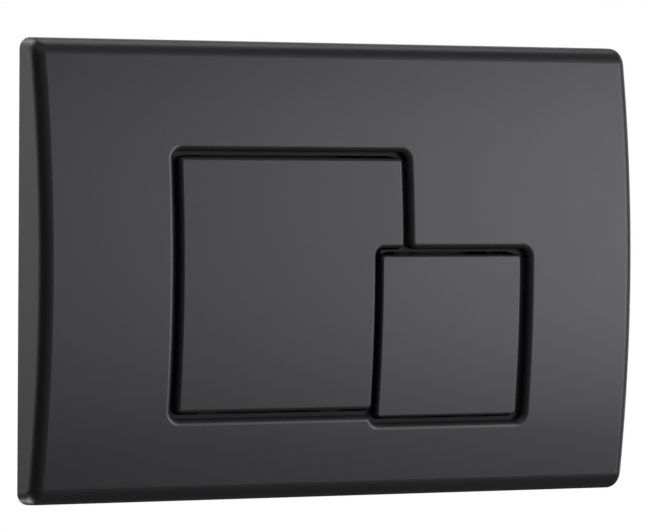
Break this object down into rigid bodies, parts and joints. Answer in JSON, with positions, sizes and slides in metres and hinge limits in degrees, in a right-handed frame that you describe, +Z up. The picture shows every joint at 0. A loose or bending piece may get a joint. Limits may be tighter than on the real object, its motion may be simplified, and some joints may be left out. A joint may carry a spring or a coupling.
{
  "type": "flush button plate",
  "caption": "Convex rectangular cistern plate with a large square flush button and a small one set into its corner, on a wall frame with push rods.",
  "frame": {"origin": "midway between the fixing bolts, on the wall plane that the plate's back rim and the mounting frame rest on", "axes": "+X to the right along the long side, +Y into the wall along bolts and push rods, +Z up; the face looks along -Y"},
  "size_m": [0.247, 0.0764, 0.165],
  "materials": {
    "satin_black_plastic": "fine satin moulded surface, black",
    "frame_plastic": "plain moulded, dark grey",
    "guide_plastic": "plain moulded, grey",
    "rod_plastic": "natural white acetal",
    "cap_plastic": "smooth dark grey",
    "pad_rubber": "matt black rubber",
    "pin_steel": "ground",
    "spring_steel": "drawn wire",
    "zinc_steel": "bright zinc plated"
  },
  "bodies": {
    "base": {"cover_plate": "satin_black_plastic", "mounting_frame": "frame_plastic", "full_button_pin": "pin_steel", "half_button_pin": "pin_steel", "full_rod_guide": "guide_plastic", "full_return_spring": "spring_steel", "full_stop_pads": "pad_rubber", "half_rod_guide": "guide_plastic", "half_return_spring": "spring_steel", "half_stop_pads": "pad_rubber", "left_fixing_bolt": "zinc_steel", "left_bolt_washer": "zinc_steel", "left_bolt_nut": "zinc_steel", "right_fixing_bolt": "zinc_steel", "right_bolt_washer": "zinc_steel", "right_bolt_nut": "zinc_steel"},
    "full_button": {"full_flush_button": "satin_black_plastic"},
    "half_button": {"half_flush_button": "satin_black_plastic"},
    "full_rod": {"full_push_rod": "rod_plastic", "full_rod_cap": "cap_plastic"},
    "half_rod": {"half_push_rod": "rod_plastic", "half_rod_cap": "cap_plastic"}
  },
  "joints": [
    {"name": "full_button_press", "type": "hinge", "parent": "base", "child": "full_button", "pos_m": [-0.02235, -0.00581, 0.0364], "axis": [1, 0, 0], "range_deg": [0, 2.8], "stiffness_Nm_per_rad": 4, "springref_deg": -4.58},
    {"name": "half_button_press", "type": "hinge", "parent": "base", "child": "half_button", "pos_m": [0.04945, -0.00766, 0.00125], "axis": [1, 0, 0], "range_deg": [0, 4.4], "stiffness_Nm_per_rad": 4, "springref_deg": -4.58},
    {"name": "full_rod_slide", "type": "slide", "parent": "base", "child": "full_rod", "axis": [0, 1, 0], "range_m": [0, 0.00345], "deforming": ["full_return_spring"]},
    {"name": "half_rod_slide", "type": "slide", "parent": "base", "child": "half_rod", "axis": [0, 1, 0], "range_m": [0, 0.00251], "deforming": ["half_return_spring"]}
  ],
  "couplings": [
    {"joint": "full_rod_slide", "follows": "full_button_press", "m_per_rad": 0.0654},
    {"joint": "half_rod_slide", "follows": "half_button_press", "m_per_rad": 0.03025}
  ]
}
